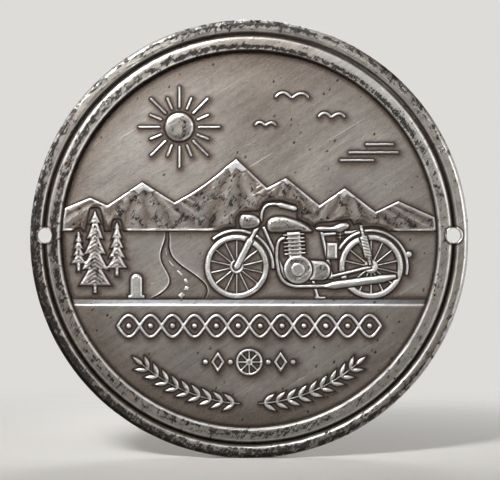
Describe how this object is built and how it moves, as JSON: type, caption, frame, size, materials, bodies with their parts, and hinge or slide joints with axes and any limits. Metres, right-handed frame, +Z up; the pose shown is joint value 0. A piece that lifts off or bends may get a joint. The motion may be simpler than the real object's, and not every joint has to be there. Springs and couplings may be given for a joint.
{
  "type": "motoring plaque",
  "caption": "Round struck metal plaque for screwing to a wall or board, with a raised double rim, a low relief of a parked motorcycle in a landscape and an ornamented lower panel.",
  "frame": {"origin": "middle of the flat back", "axes": "-Y out of the face, +Y into the wall, +Z up in the picture, +X to the right of the picture"},
  "size_m": [0.088, 0.0032, 0.088],
  "materials": {
    "disc_metal": "silvered, plain and dull, lightly scratched",
    "rim_metal": "silvered, polished by wear on the edges, with dark tarnish in flecks and in the groove",
    "field_metal": "silvered, satin with fine diagonal scratches, darker in the corners",
    "relief_metal": "silvered, rubbed bright on the edges, dark where it meets the field"
  },
  "bodies": {
    "root": {"disc": "disc_metal", "outer_rim": "rim_metal", "inner_rim": "rim_metal", "picture_field": "field_metal", "lower_panel": "field_metal", "front_wheel": "relief_metal", "rear_wheel": "relief_metal", "front_mudguard": "relief_metal", "rear_mudguard": "relief_metal", "front_fork": "relief_metal", "handlebar": "relief_metal", "headlamp": "relief_metal", "fuel_tank": "relief_metal", "saddle": "relief_metal", "engine": "relief_metal", "gearbox": "relief_metal", "exhaust": "relief_metal", "tool_box": "relief_metal", "rear_spring": "relief_metal", "frame_tubes": "relief_metal", "prop_stand": "relief_metal", "mountains": "relief_metal", "snow_caps": "relief_metal", "road_dashes": "relief_metal", "pines": "relief_metal", "milestone": "relief_metal", "sun": "relief_metal", "sun_rays": "relief_metal", "birds": "relief_metal", "cloud_lines": "relief_metal", "wave_band": "relief_metal", "band_bosses": "relief_metal", "wheel_ornament": "relief_metal", "lozenges": "relief_metal", "laurel_left": "relief_metal", "laurel_right": "relief_metal"}
  },
  "joints": []
}
